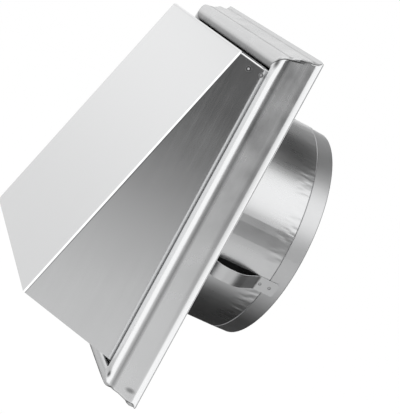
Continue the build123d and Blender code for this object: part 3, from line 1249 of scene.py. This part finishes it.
    def build_floor(self) -> None:
        """Makes the pale floor, white where the camera sees it unshaded."""
        bm = bmesh.new()
        bmesh.ops.create_grid(bm, x_segments=1, y_segments=1, size=self.floor_size)
        bmesh.ops.translate(bm, verts=bm.verts, vec=(0, 0, CAD_BOX[0][2] - self.floor_drop))
        mesh = bpy.data.meshes.new("studio_floor")
        bm.to_mesh(mesh)
        bm.free()
        floor = new_object("studio_floor", mesh)
        material, wires, shader = new_material("pale_floor")
        shader.inputs["Base Color"].default_value = (self.floor_tone,) * 3 + (1.0,)
        shader.inputs["Roughness"].default_value = self.floor_roughness
        glow = wires.node("ShaderNodeEmission")
        glow.inputs["Strength"].default_value = self.floor_glow
        path = wires.node("ShaderNodeLightPath")
        chosen = wires.node("ShaderNodeMixShader")
        wires.feed(wires.maths("MULTIPLY", path.outputs["Is Camera Ray"], self.glow_share), chosen.inputs[0])
        wires.feed(shader.outputs[0], chosen.inputs[1])
        wires.feed(glow.outputs[0], chosen.inputs[2])
        wires.feed(chosen.outputs[0], material.node_tree.nodes["Material Output"].inputs["Surface"])
        mesh.materials.append(material)
        floor.visible_glossy = False

    def build_lamp(self) -> None:
        """Hangs one large soft lamp over the front of the object."""
        lamp = bpy.data.lights.new("soft_lamp", "AREA")
        lamp.shape = "DISK"
        lamp.size = self.lamp_size
        lamp.energy = self.lamp_power
        holder = new_object("soft_lamp", lamp)
        holder.location = self.lamp_place
        holder.rotation_euler = Vector(self.lamp_place).to_track_quat("Z", "Y").to_euler()
        holder.visible_glossy = False

    def build_camera(self) -> None:
        """Sets the camera to the vent's right, a little above it and rolled."""
        data = bpy.data.cameras.new("camera")
        data.sensor_fit = "VERTICAL"
        data.sensor_height = self.sensor
        data.lens = self.lens
        camera = new_object("camera", data)
        azimuth, elevation = math.radians(self.camera_azimuth), math.radians(self.camera_elevation)
        back = Vector((math.cos(elevation) * math.cos(azimuth), math.cos(elevation) * math.sin(azimuth),
                       math.sin(elevation)))
        level = Vector((-math.sin(azimuth), math.cos(azimuth), 0))
        roll = Matrix.Rotation(math.radians(self.camera_roll), 3, back)
        right = roll @ level
        turn = Matrix((right, back.cross(right), back)).transposed().to_4x4()
        camera.matrix_world = Matrix.Translation(self.camera_place) @ turn
        bpy.context.scene.camera = camera

    def build(self) -> None:
        """Makes the whole studio."""
        self.build_world()
        self.build_floor()
        self.build_lamp()
        self.build_camera()
        bpy.context.scene.view_settings.view_transform = "Standard"


FRAME_MARKS = (
    # painted shade on the floor round the hood, which is also a little duller
    PaintedLightBand(Across.SQUARE, 98.0 * MM, 104.9 * MM, -19.6 * MM, -10.0 * MM, 1.6 * MM, 0.6, 0.1),
    # painted shade: a dark foot of the bead above the hood, and a wider painted shade over it
    PaintedLightBand(Across.TOP, 98.0 * MM, 103.6 * MM, -30.0 * MM, -10.0 * MM, 4.4 * MM, 0.1),
    PaintedLightBand(Across.TOP, 98.0 * MM, 107.5 * MM, -30.0 * MM, -10.0 * MM, 7.0 * MM, 0.55),
    # painted shade on the inner wall of the bead, then in the valley behind it
    PaintedLightBand(Across.SQUARE, 104.0 * MM, 105.8 * MM, -30.0 * MM, -19.0 * MM, 1.6 * MM, 0.75),
    PaintedLightBand(Across.SQUARE, 112.4 * MM, 116.0 * MM, -18.7 * MM, -16.4 * MM, 1.8 * MM, 0.66, 0.05),
    # painted dark reflections: a soft stripe along the right skirt, and a spot at its lower end
    PaintedShadeSpot((118.0 * MM, -4.1 * MM, 25.0 * MM), (16.0 * MM, 3.1 * MM, 118.0 * MM), 0.72, rough=0.0),
    PaintedShadeSpot((116.3 * MM, -7.4 * MM, -106.9 * MM), (6.0 * MM, 3.9 * MM, 2.1 * MM), 0.45),
    # painted shade: dark lines along the mitres and along the top near the wall
    PaintedLightBand(Across.HEIGHT, 116.6 * MM, 117.9 * MM, -4.6 * MM, -2.0 * MM, 0.8 * MM, 0.75),
    PaintedLightBand(Across.MITRE, -0.4 * MM, 1.0 * MM, -12.5 * MM, -1.2 * MM, 0.6 * MM, 0.3),
# painted shade at the corner dimples
) + DIMPLES

HOOD_MARKS = (
    # painted highlight along the folds, and painted shade in a line low on each side where it meets the bead
    PaintedLightBand(Across.FOLD, -OPEN, 1.0 * MM, -OPEN, OPEN, 0.9 * MM, 1.3),
    PaintedLightBand(Across.WIDTH, 102.0 * MM, OPEN, -23.6 * MM, OPEN, 1.0 * MM, 0.45,
          upper=130.0 * MM, running=90.0 * MM),
    # spot welds of the corner tabs
    WeldDot(Across.HEIGHT, 95.97 * MM, -34.0 * MM, 1.3 * MM, 0.1),
    WeldDot(Across.HEIGHT, 95.97 * MM, -25.4 * MM, 1.1 * MM, 0.4),
)

COLLAR_MARKS = (
    # painted shade under each spring, where the strip is also duller
    PaintedLightBand(Across.SPRING, -OPEN, 5.1 * MM, 0.0, 47.0 * MM, 0.3 * MM, 0.06, 0.2),
    # painted shade in the groove and along the edge of the hem, with the duller end band between them
    PaintedLightBand(Across.SPRING, -OPEN, OPEN, 54.1 * MM, 54.9 * MM, 0.5 * MM, 0.7),
    PaintedLightBand(Across.SPRING, -OPEN, OPEN, 54.9 * MM, OPEN, 0.3 * MM, 0.97, 0.1),
    PaintedLightBand(Across.SPRING, -OPEN, OPEN, 66.3 * MM, OPEN, 0.2 * MM, 0.5, 0.1),
    # painted dark reflection on the upper right
    PaintedShadeSpot((47.2 * MM, 38.0 * MM, 58.3 * MM), (22.0 * MM, 27.0 * MM, 22.0 * MM), 0.62, rough=0.0),
)

SPRING_MARKS = (
    # spot welds of the tab
    WeldDot(Across.SPRING, 0.0, 50.0 * MM, 0.9 * MM, 0.6, 0.15),
    WeldDot(Across.SPRING, 0.0, 57.0 * MM, 0.9 * MM, 0.6, 0.15),
)


@dataclass
class Vent:
    """The whole vent: its finishes, new pieces and dressed solids."""

    frame_finish: SteelFinish = SteelFinish(
        "frame_steel", roughness=0.24, lines=0.15, blotches=1.4, waves=0.9, marks=FRAME_MARKS)
    hood_finish: SteelFinish = SteelFinish(
        "hood_steel", tone=0.76, roughness=0.17, lines=0.35, blotches=0.25, waves=0.15, marks=HOOD_MARKS)
    collar_finish: SteelFinish = CollarFinish(
        "collar_steel", roughness=0.29, along=Along.Y, lines=0.25, marks=COLLAR_MARKS)
    clip_finish: SteelFinish = SteelFinish(
        "spring_steel", tone=0.72, roughness=0.34, along=Along.Y, lines=0.4, blotches=0.4, waves=0.3,
        marks=SPRING_MARKS)
    flap_finish: SteelFinish = SteelFinish("flap_steel", tone=0.72, roughness=0.22, along=Along.X)
    pin_finish: SteelFinish = SteelFinish(
        "drawn_wire", tone=0.66, roughness=0.28, along=Along.X, lines=0.6, blotches=0.3, waves=0.0)
    rivet_finish: SteelFinish = SteelFinish(
        "rivet_aluminium", tone=0.8, roughness=0.32, along=Along.ROUND, lines=0.3, blotches=0.4, waves=0.0)
    foam_finish: FoamFinish = FoamFinish()
    wall_frame: WallFrame = field(default_factory=WallFrame)
    seal_ring: SealRing = field(default_factory=SealRing)

    def build(self) -> None:
        """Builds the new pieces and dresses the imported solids."""
        grain = SheetGrain().build()
        self.wall_frame.build(self.frame_finish.build(grain))
        self.seal_ring.build(self.foam_finish.build())
        dress("hood", self.hood_finish.build(grain))
        dress("collar", self.collar_finish.build(grain))
        springs = self.clip_finish.build(grain)
        for number in range(1, SPRING_COUNT + 1):
            dress(f"spring_clip_{number}", springs)
        flap = self.flap_finish.build(grain)
        for node in ("flap", "hinge_bracket_right", "hinge_bracket_left"):
            dress(node, flap)
        dress("hinge_pin", self.pin_finish.build(grain))
        dress("bracket_rivets", self.rivet_finish.build(grain))


def save_sizes() -> None:
    LOG.info("sizes written")


def main() -> None:
    """Builds the studio and the vent."""
    Studio().build()
    Vent().build()
    save_sizes()


if __name__ == "__main__":
    main()
